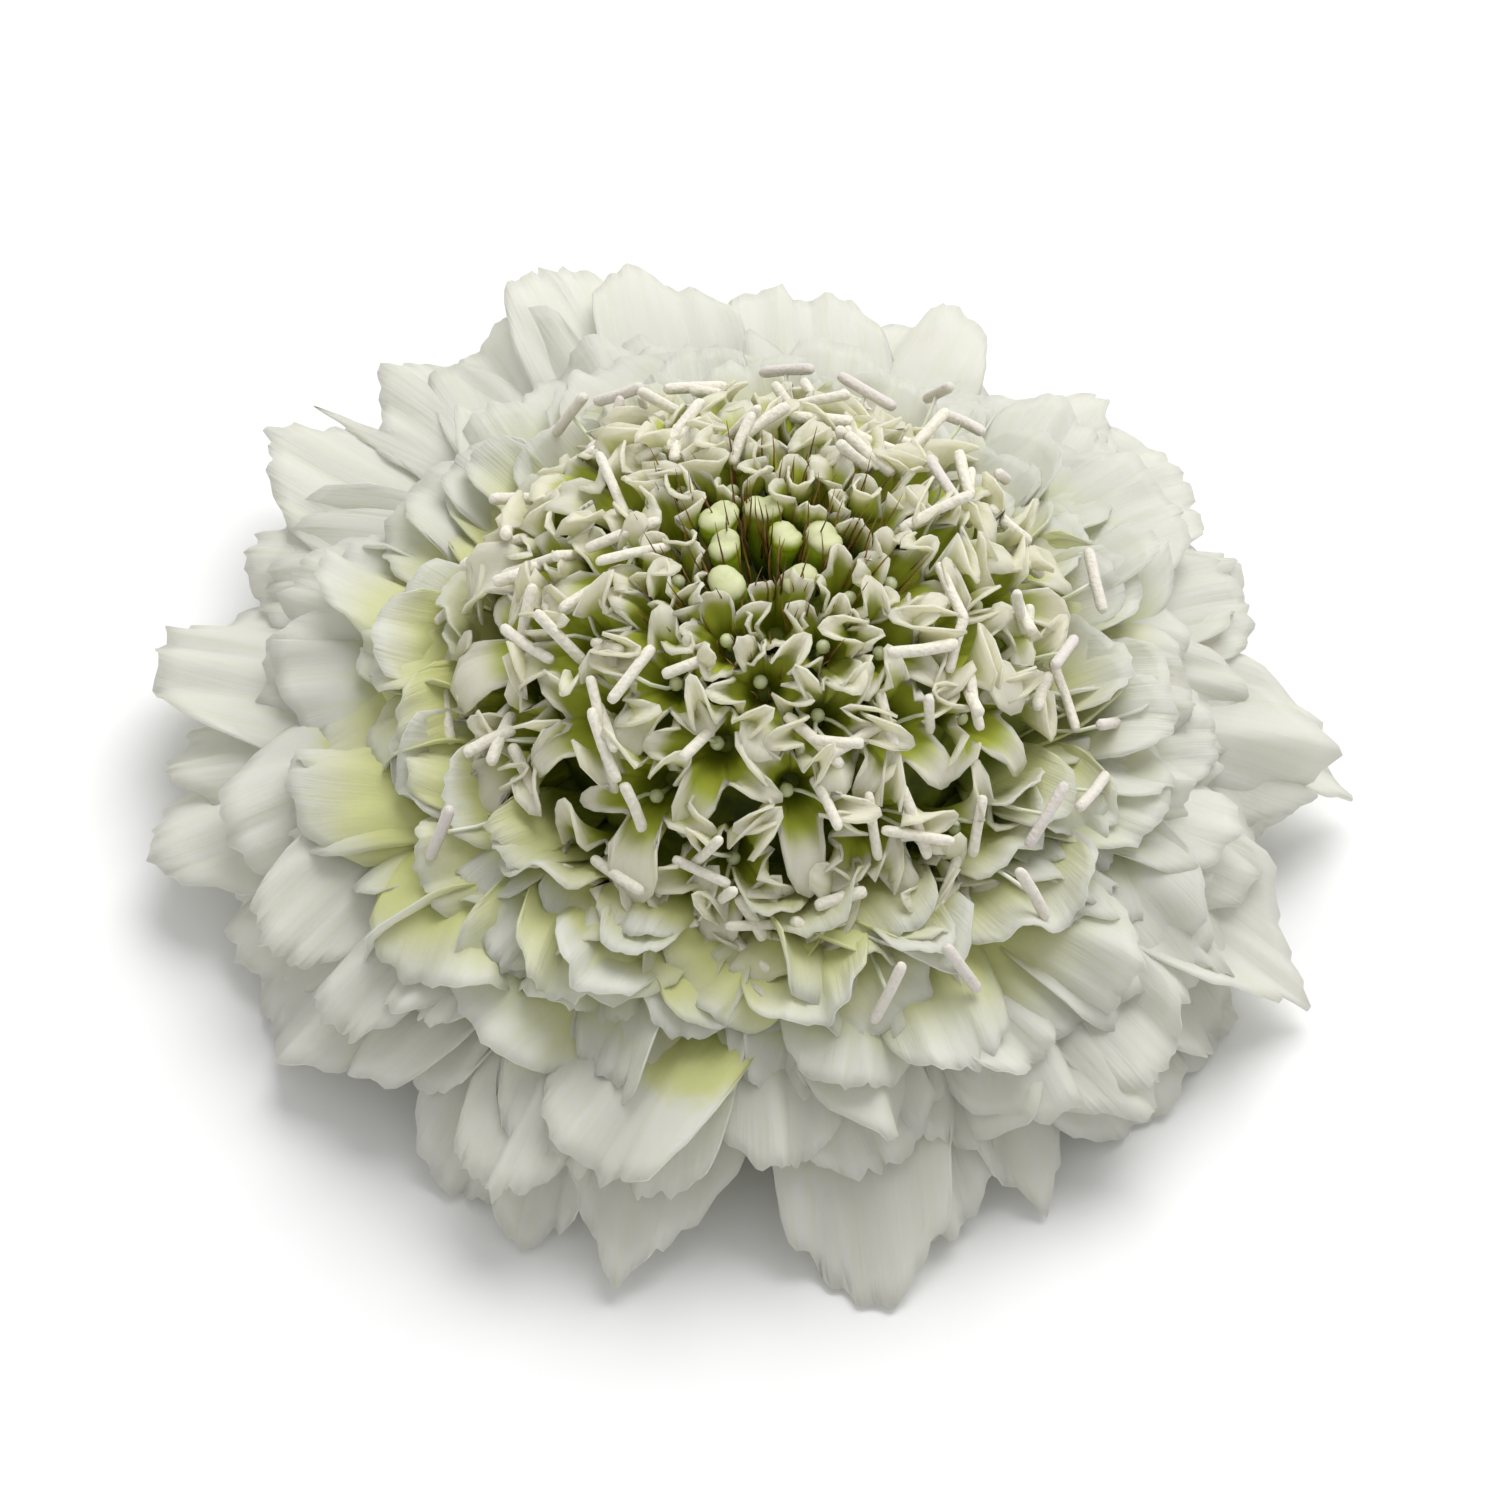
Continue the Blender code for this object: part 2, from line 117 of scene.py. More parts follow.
class Finish:  # one material and its nodes
    def __init__(self, name, roughness):
        self.material = bpy.data.materials.new(name)
        self.material.use_nodes = True
        self.tree = self.material.node_tree
        self.shader = self.tree.nodes["Principled BSDF"]
        self.shader.inputs["Roughness"].default_value = roughness

    def node(self, kind, settings=None, values=None, output=0):
        made = self.tree.nodes.new("ShaderNode" + kind)
        for key, setting in (settings or {}).items():
            setattr(made, key, setting)
        for key, value in (values or {}).items():
            if isinstance(value, Value):
                self.tree.links.new(value.socket, made.inputs[key])
            else:
                made.inputs[key].default_value = value
        return Value(self, made.outputs[output])

    def attribute(self, name):
        return self.node("Attribute", {"attribute_name": name}, output=2)

    def noise(self, scale, detail=2.0, vector=None, roughness=0.5):
        vector = vector or self.node("TexCoord", output=3)
        values = {"Vector": vector, "Scale": scale, "Detail": detail, "Roughness": roughness}
        return self.node("TexNoise", None, values)

    def vector(self, x, y, z):
        return self.node("CombineXYZ", None, {0: x, 1: y, 2: z})

    def mix(self, share, first, second):
        first, second = [(*c, 1.0) if isinstance(c, tuple) else c for c in (first, second)]
        return self.node("Mix", {"data_type": "RGBA"}, {0: share, 6: first, 7: second}, output=2)

    def feed(self, name, value):
        self.tree.links.new(value.socket, self.shader.inputs[name])

    def bump(self, height, depth):
        self.feed("Normal", self.node("Bump", None, {"Height": height, "Distance": depth}))

    def thin(self, share, colour):  # a share of the light from behind shines through
        glow = self.tree.nodes.new("ShaderNodeBsdfTranslucent")
        glow.inputs["Color"].default_value = (*colour, 1.0)
        blend = self.tree.nodes.new("ShaderNodeMixShader")
        self.tree.links.new(share.socket, blend.inputs[0])
        self.tree.links.new(self.shader.outputs[0], blend.inputs[1])
        self.tree.links.new(glow.outputs[0], blend.inputs[2])
        self.tree.links.new(blend.outputs[0], self.tree.nodes["Material Output"].inputs["Surface"])


# What all petals share: how fine the mottle, stains, veins and grain are, and how much each one shows
petalPattern = {
    "mottleScale": 900.0,
    "mottleReach": 0.12,
    "mottleRoughness": 0.20,
    "rootFade": 0.28,
    "stainScale": 160.0,
    "stainFrom": (0.60, 0.78),
    "stainTone": (0.55, 0.95),
    "fan": (9.0, 1.1, 31.0),  # veins across, along, and how far the tone shifts them
    "veinScale": 1.6,
    "veinRoughness": 0.6,
    "veinFrom": (0.30, 0.55),
    "veinTint": 0.16,
    "veinRelief": (0.35, 0.65),  # on the face, and added at the rim
    "grainScale": 5200.0,
    "grainRelief": 0.10,
    "glowBefore": 0.20,
}


def petalFinish(name, look, whiteFrom):
    pattern = petalPattern
    greenTo = look["greenTo"]
    finish = Finish(name, look["roughness"])
    finish.shader.inputs["Specular IOR Level"].default_value = look["specular"]
    along, across = finish.attribute("along"), finish.attribute("across")
    tone, rim = finish.attribute("tone"), finish.attribute("rim")
    mottle = finish.noise(pattern["mottleScale"], 3.0)
    reach = along + (mottle - 0.5) * pattern["mottleReach"]
    # a lower tone pulls the green further out; on the ray petals part of the tone is painted shade by the side
    # of the head
    reach = reach + (tone - 0.5) * look["spread"] + rim * look["rimShare"]
    colour = finish.mix(reach.ramp(greenTo - pattern["rootFade"], greenTo), look["root"], look["middle"])
    colour = finish.mix(reach.ramp(greenTo, whiteFrom), colour, look["edge"])
    stain = finish.noise(pattern["stainScale"], 2.0).ramp(*pattern["stainFrom"])
    stain = stain * tone.ramp(*pattern["stainTone"]) * look["blushShare"]
    colour = finish.mix(stain, colour, look["blush"])
    acrossFan, alongFan, toneShift = pattern["fan"]  # veins fan out from the claw
    fan = finish.vector(across * acrossFan, along * alongFan, tone * toneShift)
    veins = finish.noise(pattern["veinScale"], 3.0, fan, pattern["veinRoughness"])
    tinted = finish.mix(pattern["veinTint"], colour, look["middle"])
    colour = finish.mix(veins.ramp(*pattern["veinFrom"]), tinted, colour)
    finish.feed("Base Color", colour)
    finish.feed("Roughness", look["roughness"] + (mottle - 0.5) * pattern["mottleRoughness"])
    grain = finish.noise(pattern["grainScale"], 1.0)
    onFace, atRim = pattern["veinRelief"]
    finish.bump(veins * (onFace + rim * atRim) + grain * pattern["grainRelief"], look["veinDepth"] * mm)
    clear = reach.ramp(greenTo - pattern["glowBefore"], whiteFrom)
    finish.thin(clear * look["glowShare"] + look["leastGlow"], look["glow"])
    return finish.material


def newMesh():
    bm = bmesh.new()
    for name in ("along", "across", "tone", "rim"):
        bm.verts.layers.float.new(name)
    return bm


def mark(bm, vert, along, across, tone, rim):
    layers = bm.verts.layers.float
    for name, value in (("along", along), ("across", across), ("tone", tone), ("rim", rim)):
        vert[layers[name]] = value


def addPiece(name, bm, material, node, wall=0.0):
    bmesh.ops.scale(bm, vec=(mm, mm, mm), verts=bm.verts[:])
    for face in bm.faces:
        face.smooth = True
    mesh = bpy.data.meshes.new(name)
    bm.to_mesh(mesh)
    bm.free()
    mesh.materials.append(material)
    piece = bpy.data.objects.new(name, mesh)
    bpy.context.scene.collection.objects.link(piece)
    if wall:
        shell = piece.modifiers.new("wall", "SOLIDIFY")
        shell.thickness = wall * mm
        shell.offset = 0.0
    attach(piece, "root")
    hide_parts(node)
    print("made", name, len(mesh.polygons), "faces")


# One petal: a narrow claw from root, over the bend at mouth, out to a rounded or pointed end at tip.
# Its margin is ruffled and nicked, and its face is pleated along the veins.
petalShape = {
    "claw": 0.36,
    "widestAt": 0.60,
    "roundEnd": 1.1,
    "pointEnd": 0.17,
    "ruffleTurns": 1.7,
    "crimpTurns": 7.0,
    "nickTurns": 9.0,
    "endSquareness": 2.2,
    "pleats": 13.0,
    "ruffleHeight": 2.2,
    "crimpHeight": 2.0,
    "nickWidth": 1.2,
    "curlFrom": 0.62,
    # a petal's tone: by chance, and painted shade by the side of the head it is on (lower, so greener and
    # darker, away from the light), and which side that is, in radians
    "toneChance": 0.16,
    "sideShade": 0.34,
    "sideShadeTurn": 0.75,
}


def addPetal(bm, root, mouth, tip, side, width, draw, grid=(19, 14), point=0.0, ruffle=0.08, crimp=0.036,
             nick=0.034, cup=0.0, curl=0.0, twist=0.0, pleat=0.010, claw=None, tone=None, green=1.0):
    shape = petalShape
    claw = shape["claw"] if claw is None else claw
    if tone is None:
        chance = shape["toneChance"] * (draw.random() - draw.random())
        # the side term is painted shade: petals on the near-left side, away from the top light, get a lower tone
        # and so more of the darker green
        tone = 0.5 + chance + shape["sideShade"] * math.sin(math.atan2(tip.y, tip.x) + shape["sideShadeTurn"])
    seed = draw.uniform(0, 90)
    half = width / 2
    chord = (tip - root).length
    roundEnd = min(0.5, shape["roundEnd"] * half / chord)
    made = bmesh.ops.create_grid(bm, x_segments=grid[0] - 1, y_segments=grid[1] - 1, size=1.0)["verts"]
    for vert in made:
        s, t = vert.co.x, (vert.co.y + 1) / 2
        square = shape["endSquareness"]
        rounded = roundEnd * (1 - max(0.0, 1 - abs(s) ** square) ** (1 / square))
        end = 1 - rounded - point * shape["pointEnd"] * (1 - (1 - abs(s)) ** 2.5)
        v = t * end
        spread = math.sin(math.pi / 2 * min(1.0, v / shape["widestAt"])) ** 1.5
        x = s * (claw + (1 - claw) * spread)
        rim = max(abs(s) ** 3 * smooth(0.15, 0.6, t), t**4)
        turn = math.atan2(x, v - 0.22) / math.pi
        wave = noise.noise(Vector((turn * shape["ruffleTurns"] * 2, seed, v * 0.8)))
        fine = noise.noise(Vector((turn * shape["crimpTurns"] * 2, seed + 7, v * 1.5)))
        edge = noise.noise(Vector((turn * shape["nickTurns"] * 2, seed + 13, 0.0)))
        x *= 1 + nick * shape["nickWidth"] * edge * rim
        v += nick * edge * rim * t
        bend = root * (1 - v) ** 2 + mouth * (2 * v * (1 - v)) + tip * v**2
        ahead = ((mouth - root) * (1 - v) + (tip - mouth) * v).normalized()
        across = (side - ahead * side.dot(ahead)).normalized()
        face = ahead.cross(across)
        lean = twist * v
        across, face = (
            across * math.cos(lean) + face * math.sin(lean),
            face * math.cos(lean) - across * math.sin(lean),
        )
        lift = cup * half * x * x * smooth(0.1, 0.8, v)
        ruffled = ruffle * wave * shape["ruffleHeight"] * (0.25 * t + rim) * t
        lift += width * (ruffled + crimp * fine * shape["crimpHeight"] * rim)
        lift += width * pleat * math.sin(x * shape["pleats"] + seed + fine) * smooth(0.2, 0.9, t)
        lift -= curl * chord * max(0.0, v - shape["curlFrom"]) ** 2 * 4
        place = bend + across * (x * half) + face * lift
        place.z = max(place.z, head["floorGap"] + 0.1 * rim)
        vert.co = place
        mark(bm, vert, v * green, x, tone, rim)


# A petal of a ray floret, from the collar round the head's middle. Azimuth, reach, height and width of its end.
def addRay(bm, middle, rootPolar, mouth, lobe, draw, **shape):
    azimuth, reach, height, width = lobe
    out, down, side = outDownSide(rootPolar, middle)
    root = head["middle"] + out * head["collarRadius"]
    across = outDownSide(90, (azimuth + middle) / 2)[2]
    bend = ringPoint(middle + (azimuth - middle) * 0.55, *mouth)
    addPetal(bm, root, bend, ringPoint(azimuth, reach, height), across, width, draw, **shape)


outerRays = {
    "rootPolar": 94,
    "mouth": (18.0, 10.0),
    # lobes of each floret: azimuth, reach, height, width, and how pointed the tip is
    "florets": [
        [(-0.5, 30.1, 3.0, 10.4, 0.7), (22, 25.8, 4.0, 9.0, 0.1)],
        [(39, 28.6, 4.0, 9.0, 0.1), (54, 29.8, 5.0, 8.6, 0.7)],
        [(72.5, 30.2, 5.0, 9.0, 0.0), (87, 29.6, 6.0, 10.0, 0.0)],
        [(101, 30.8, 8.2, 7.8, 0.1), (111, 31.8, 7.6, 8.0, 0.0)],
        [(120, 30.4, 6.6, 8.6, 0.1), (129, 32.6, 5.4, 7.4, 0.5), (136.5, 32.4, 5.2, 2.4, 1.0)],
        [(141.5, 33.6, 5.0, 9.0, 0.6), (154, 29.2, 4.0, 8.4, 0.1)],
        [(165, 31.2, 4.2, 12.6, 0.0), (179, 29.6, 3.2, 7.0, 0.1), (188, 29.8, 2.4, 10.0, 0.0)],
        [(200, 27.8, 1.8, 9.0, 0.0), (210.5, 28.0, 1.0, 12.8, 0.0)],
        [(236, 27.8, 0.8, 7.8, 0.1), (245, 28.6, 0.3, 7.0, 0.5)],
        [(255, 28.2, 0.3, 9.4, 0.6), (267, 21.0, 2.8, 5.8, 0.0)],
        [(280.5, 29.6, 0.3, 8.8, 0.3), (290, 26.4, 0.8, 6.6, 0.1)],
        [(300, 27.8, 0.8, 9.2, 0.8), (317, 27.0, 1.0, 10.2, 0.0)],
        [(328, 26.8, 1.6, 9.2, 0.0), (335.8, 30.0, 2.0, 10.0, 0.7)],
    ],
    "wall": 0.15,
    "grid": (31, 20),
    "whiteFrom": 0.72,
    "ruffle": 0.10,
    "crimp": 0.03,
    "curl": (-0.04, 0.08),
    "cup": (-0.25, 0.3),
    "twist": (-0.25, 0.25),
}
hangingRays = {
    "azimuths": (12, 62, 108, 148, 192, 238, 284, 328),
    "rootPolar": 101,
    "mouth": (18.0, 6.6),
    "tip": (26.4, 0.3, 8.0),  # reach, height and width
    "ruffle": 0.05,
    "cup": -0.1,
}
innerRays = {
    # rows from the outside in: florets, first azimuth, polar angle of the root, radius and height of the mouth,
    # reach, height and width of a petal, and how much it is ruffled
    "rows": [
        (9, 30.0, 91, (17.8, 10.8), 27.6, 5.4, 8.8, 0.12),
        (9, 8.0, 88, (17.5, 11.6), 25.8, 7.8, 8.6, 0.12),
        (8, 27.0, 85, (16.8, 12.0), 23.8, 9.4, 8.2, 0.13),
        (8, 5.5, 82, (16.0, 12.4), 21.8, 10.8, 7.6, 0.13),
        (7, 30.0, 79, (15.2, 12.9), 20.0, 11.8, 7.2, 0.13),
        (6, 41.0, 76, (14.4, 13.1), 18.4, 12.7, 6.6, 0.12),
    ],
    "whiteFrom": (0.68, 0.80, 0.96, 1.08, 1.16, 1.18),
    "wall": 0.13,
    "grid": (29, 18),
    # how wild a floret is: on average, less towards the far side, less towards the right
    "wild": (0.72, 0.34, 0.25),
    "petalStep": 0.32,
    "sway": 7.0,
    "lift": (-1.3, 1.6),
    "sideReach": 0.96,
    "reachSpread": (0.89, 1.05),
    "widthSpread": (0.62, 1.30),
    "ruffleSpread": (0.7, 1.4),
    "curl": (-0.08, 0.18),
    "cup": (-0.35, 0.25),
    "twist": 0.6,
    "notchAt": 267.0,
    "notchDepth": 0.13,
    "notchWidth": 10.0,
    # the small upper petals
    "upperWidth": 4.4,
    "upperGrid": (15, 12),
    "upperStep": 0.22,
    "upperSway": 4.0,
    "upperRoot": 10.4,
    "upperRuffle": 0.12,
    "upperCup": 0.3,
    "upperCurl": (-0.05, 0.2),
    "upperTwist": 0.5,
}


def outerPetals():
    draw = random.Random(11)
    bm = newMesh()
    rays = outerRays
    for lobes in rays["florets"]:
        middle = sum(lobe[0] for lobe in lobes) / len(lobes)
        for azimuth, reach, height, width, point in lobes:
            addRay(bm, middle, rays["rootPolar"], rays["mouth"], (azimuth, reach, height, width), draw,
                   grid=rays["grid"], point=point, ruffle=rays["ruffle"], crimp=rays["crimp"],
                   curl=draw.uniform(*rays["curl"]), cup=draw.uniform(*rays["cup"]),
                   twist=draw.uniform(*rays["twist"]))
    finish = petalFinish("ray petal white", rayLook, rays["whiteFrom"])
    addPiece("outerRayPetals", bm, finish, "ray_florets", rays["wall"])


def hangingPetals():
    draw = random.Random(12)
    bm = newMesh()
    rays = hangingRays
    reach, height, width = rays["tip"]
    for azimuth in rays["azimuths"]:
        addRay(bm, azimuth, rays["rootPolar"], rays["mouth"], (azimuth, reach, height, width), draw,
               ruffle=rays["ruffle"], cup=rays["cup"])
    addPiece("hangingRayPetals", bm, bpy.data.materials["ray petal white"], "ray_florets",
             outerRays["wall"])


def addUpperPetal(bm, middle, azimuth, rootPolar, mouth, wild, draw):
    rays = innerRays
    root = head["middle"] + outDownSide(rootPolar - 3, middle)[0] * rays["upperRoot"]
    bend = ringPoint(azimuth, mouth[0] - 1.2, mouth[1] + 0.4)
    tip = ringPoint(azimuth, mouth[0] + draw.uniform(0.4, 3.4), mouth[1] + draw.uniform(0.4, 2.8))
    width = rays["upperWidth"] * draw.uniform(0.7, 1.4)
    addPetal(bm, root, bend, tip, outDownSide(90, azimuth)[2], width, draw, grid=rays["upperGrid"],
             ruffle=rays["upperRuffle"], cup=rays["upperCup"], curl=draw.uniform(*rays["upperCurl"]),
             twist=draw.uniform(-rays["upperTwist"], rays["upperTwist"]) * wild)


def innerPetals(number, row):
    draw = random.Random(20 + number)
    bm = newMesh()
    rays = innerRays
    florets, first, rootPolar, mouth, reach, height, width, ruffle = row
    step = 360.0 / florets
    wildMean, calmerFar, calmerRight = rays["wild"]
    for floret in range(florets):
        middle = first + step * floret
        side = math.radians(middle)
        wild = wildMean - calmerFar * math.sin(side) - calmerRight * math.cos(side)
        raised = draw.uniform(-1.0, 1.0) * wild
        bend = (mouth[0] + draw.uniform(-0.7, 0.7), mouth[1] + 0.5 * raised)
        for place in (-1, 0, 1):
            azimuth = middle + place * step * rays["petalStep"] + draw.uniform(-rays["sway"], rays["sway"])
            lift = raised + draw.uniform(*rays["lift"]) * wild
            notch = 1 - rays["notchDepth"] * math.exp(-(((azimuth - rays["notchAt"]) / rays["notchWidth"]) ** 2))
            share = rays["sideReach"] if place else 1.0
            far = reach * share * draw.uniform(*rays["reachSpread"]) * notch - 0.5 * lift
            lobe = (azimuth, far, height + lift, width * draw.uniform(*rays["widthSpread"]))
            addRay(bm, middle, rootPolar, bend, lobe, draw, grid=rays["grid"],
                   ruffle=ruffle * draw.uniform(*rays["ruffleSpread"]), curl=draw.uniform(*rays["curl"]) * wild,
                   cup=draw.uniform(*rays["cup"]) * wild,
                   twist=draw.uniform(-rays["twist"], rays["twist"]) * wild)
        for place in draw.choice(((0,), (-1,), (1,), (-1, 1))):  # the small upper petals that show
            sway = draw.uniform(-rays["upperSway"], rays["upperSway"])
            azimuth = middle + place * step * rays["upperStep"] + sway
            addUpperPetal(bm, middle, azimuth, rootPolar, mouth, wild, draw)
    finish = petalFinish("inner petal white %d" % (number + 1), innerLook, rays["whiteFrom"][number])
    addPiece("innerRayPetals%d" % (number + 1), bm, finish, "ray_florets", rays["wall"])


# Single lobes placed one by one, most of them on the near side.
# Each has its azimuth, reach, height, width, curl, twist and cup.
nearLobes = {
    "lobes": [
        (180, 28.6, 5.2, 10.5, 0.16, 0.35, -0.2),
        (218, 27.0, 7.0, 5.8, 0.05, 0.2, -0.2),
        (227, 24.0, 8.6, 4.2, 0.0, 0.0, 0.1),
        (242, 28.2, 5.0, 6.2, -0.05, 0.1, -0.2),
        (249, 23.6, 7.6, 4.8, 0.1, 0.3, 0.2),
        (258, 25.6, 4.6, 6.6, 0.1, 0.3, -0.1),
        (259, 19.6, 9.8, 5.0, -0.15, 0.0, 0.4),
        (275, 22.4, 8.0, 7.4, 0.05, -0.2, -0.1),
        (293, 21.6, 8.6, 4.2, 0.05, 0.3, 0.1),
        (313, 27.0, 4.0, 9.0, 0.0, -0.2, -0.2),
        (221, 18.8, 11.8, 5.2, -0.05, 0.2, 0.3),
        (233, 20.6, 11.0, 5.0, 0.0, -0.3, 0.1),
        (238, 17.8, 12.4, 4.8, -0.05, 0.1, 0.3),
        (248, 17.4, 13.8, 4.6, 0.0, 0.1, -0.3),
        (327, 19.8, 11.2, 5.2, 0.05, 0.2, 0.2),
        (343, 20.6, 11.6, 5.4, -0.05, -0.3, 0.1),
    ],
    "whiteFrom": 0.84,
    "wall": 0.13,
    "grid": (29, 20),
    "ruffle": 0.10,
    # at height 0, and the change per mm of height
    "mouthRadius": (18.4, 0.28),
    "mouthHeight": (10.9, 0.26),
    "rootPolar": (96, 1.6),
    # lobes that reach past this radius turn white sooner
    "whiterPast": 20,
    "whiterBy": 0.06,
}


def nearPetals():
    draw = random.Random(14)
    bm = newMesh()
    near = nearLobes
    radius, inward = near["mouthRadius"]
    rise, upward = near["mouthHeight"]
    polar, steeper = near["rootPolar"]
    for azimuth, reach, height, width, curl, twist, cup in near["lobes"]:
        mouth = (radius - inward * height, rise + upward * height)  # a higher lobe starts higher and further in
        green = 1 + near["whiterBy"] * max(0, reach - near["whiterPast"])
        addRay(bm, azimuth, polar - steeper * height, mouth, (azimuth, reach, height, width), draw,
               grid=near["grid"], curl=curl, twist=twist, cup=cup, ruffle=near["ruffle"], green=green)
    finish = petalFinish("near petal white", innerLook, near["whiteFrom"])
    addPiece("nearRayPetals", bm, finish, "ray_florets", near["wall"])


rayLook = {
    "root": (0.26, 0.31, 0.03),
    "middle": (0.74, 0.75, 0.38),
    "edge": (0.84, 0.84, 0.81),
    "rimShare": 0.10,
    "blush": (0.68, 0.56, 0.50),
    "blushShare": 0.35,
    "spread": 0.36,
    "greenTo": 0.34,
    "glow": (0.95, 0.95, 0.86),
    "glowShare": 0.40,
    "leastGlow": 0.06,
    "specular": 0.25,
    "roughness": 0.60,
    "veinDepth": 0.11,
}
innerLook = {**rayLook, "middle": (0.67, 0.69, 0.30), "greenTo": 0.56}
discLook = {
    **rayLook,
    "root": (0.24, 0.27, 0.010),
    "middle": (0.50, 0.56, 0.06),
    "edge": (0.95, 0.93, 0.85),
    "rimShare": 0.36,
    "spread": 0.22,
    "greenTo": 0.56,
    "glow": (0.97, 0.95, 0.70),
    "glowShare": 0.36,
    "blushShare": 0.30,
    "veinDepth": 0.08,
}

# Disc florets: one funnel each, its mouth drawn out into five lobes that fold lengthwise and flare.
# The lobe that faces outwards is the longest.
discFlorets = {
    "mouthDistance": 15.2,
    "depth": 3.2,
    "bottomRadius": 0.45,
    "mouthRadius": 1.85,
    "lobeLength": 1.9,
    "outerLobeLength": 2.4,
    "broadShare": 0.12,
    "broadSide": 175.0,
    "broadLength": 3.6,
    "flare": 54.0,
    "outerFlare": 68.0,
    "grid": (51, 12),
    "youngestSize": 0.70,
    "youngSpread": 3.5,
    "youngLower": 0.9,
    "fullSizePolar": 34.0,
    "whiteFrom": 0.90,
    "openFrom": (14, 36),
    "aim": 2.0,
    "foldHeight": 1.9,
    "waveHeight": 1.1,
    "fineHeight": 0.3,
    "lengthSpread": (0.8, 1.3),
    "flareSpread": (-30, 22),
    "outerFold": (0.0, 0.5),
    "fold": (0.4, 1.2),
    "sharpness": (0.5, 2.0),
    "broadSharpness": 0.2,
    # florets of the same kind that reach further down: polar angle and azimuth
    "low": [(71, 208), (71, 236), (74, 252), (70, 263), (75, 274), (71, 287), (74, 301), (68, 313), (68, 62),
            (70, 80), (70, 98), (71, 118), (69, 139), (71, 160), (70, 186)],
    "wall": 0.15,
}


def floretSize(polar):
    grown = (polar - head["budPolar"]) / (discFlorets["fullSizePolar"] - head["budPolar"])
    return discFlorets["youngestSize"] + (1 - discFlorets["youngestSize"]) * min(1.1, grown)


def discPlaces():
    places = []
    for number in range(head["buds"], head["lastFloret"]):
        polar, azimuth = spiralPlace(number)
        places.append((polar + discFlorets["youngSpread"] * math.exp((head["budPolar"] - polar) / 8), azimuth))
    return places + discFlorets["low"]


def addFloret(bm, out, down, side, size, opened, lobes, draw, green):
    disc = discFlorets
    depth = disc["depth"] * (0.6 + 0.4 * size)
    bottom, mouth = disc["bottomRadius"] * size, disc["mouthRadius"] * size
    centre = head["middle"] + out * (disc["mouthDistance"] - disc["youngLower"] * (1 - opened))
    start, seed, tone = draw.uniform(-16, 16), draw.uniform(0, 90), draw.uniform(0.2, 0.8)
    columns, rows = disc["grid"]
    made = bmesh.ops.create_grid(bm, x_segments=columns - 1, y_segments=rows - 1, size=1.0)["verts"]
    for vert in made:
        turn, t = vert.co.x * 180, (vert.co.y + 1) / 2
        number = round(turn / 72)
        length, flare, fold, sharp = lobes[number]
        offset = turn - number * 72
        free = length * max(0.0, math.cos(math.radians(2.5 * offset))) ** sharp
        along = t * (depth + free)
        inCup = min(1.0, along / depth)
        beyond = max(0.0, along - depth)
        share = beyond / length
        lean = math.radians(flare * (0.6 + 0.7 * share))
        a = math.radians(start + number * 72 + offset * (1 - 0.35 * fold * smooth(0, 0.8, share)))
        ways = down * math.cos(a) + side * math.sin(a)
        radius = bottom + (mouth - bottom) * inCup**1.6 + beyond * math.sin(lean)
        height = -depth * (1 - inCup) + beyond * math.cos(lean)
        rim = smooth(0.84, 1.0, t)
        wave = noise.noise(Vector((math.cos(a) * 2.8, math.sin(a) * 2.8, seed + t)))
        fine = noise.noise(Vector((math.cos(a) * 7, math.sin(a) * 7, seed + 9)))
        lift = disc["foldHeight"] * size * fold * (offset / 36) ** 2 * smooth(0, 0.4, share) * 2
        lift += size * (disc["waveHeight"] * wave * smooth(0.35, 0.9, t) + disc["fineHeight"] * fine * rim)
        face = out * math.sin(lean) - ways * math.cos(lean)
        vert.co = centre + out * height + ways * radius + face * lift
        mark(bm, vert, along / (depth + 2.2 * size) * green, offset / 36, tone, rim)
    bmesh.ops.remove_doubles(bm, verts=made, dist=0.001)


def discLobes(polar, azimuth, size, opened, draw):
    disc = discFlorets
    onBroadSide = math.cos(math.radians(azimuth - disc["broadSide"])) > 0.7
    lobes = []
    for number in range(5):  # the first faces outwards, the third and fourth face the middle
        outer = number == 0
        chance = disc["broadShare"] + 0.5 * onBroadSide
        broad = outer and polar > disc["fullSizePolar"] and draw.random() < chance
        length = disc["broadLength"] if broad else disc["outerLobeLength"] if outer else disc["lobeLength"]
        flare = disc["outerFlare"] if outer else disc["flare"] + draw.uniform(*disc["flareSpread"])
        fold = draw.uniform(*disc["outerFold"]) if outer else draw.uniform(*disc["fold"])
        sharp = disc["broadSharpness"] if broad else draw.uniform(*disc["sharpness"])
        length = length * size * draw.uniform(*disc["lengthSpread"])
        lobes.append((length, flare * (0.24 + 0.76 * opened), fold * opened, 0.5 + sharp * opened**2))
    return lobes


def discPetals():
    draw = random.Random(31)
    bm = newMesh()
    disc = discFlorets
    aim = disc["aim"]
    for polar, azimuth in discPlaces():
        out, down, side = outDownSide(polar + draw.uniform(-aim, aim), azimuth + draw.uniform(-aim, aim))
        size = floretSize(polar)
        opened = smooth(*disc["openFrom"], polar)
        lobes = discLobes(polar, azimuth, size, opened, draw)
        addFloret(bm, out, down, side, size, opened, lobes, draw, 0.66 + 0.34 * smooth(12, 30, polar))
    finish = petalFinish("disc floret cream", discLook, disc["whiteFrom"])
    addPiece("discFloretPetals", bm, finish, "disc_florets", disc["wall"])


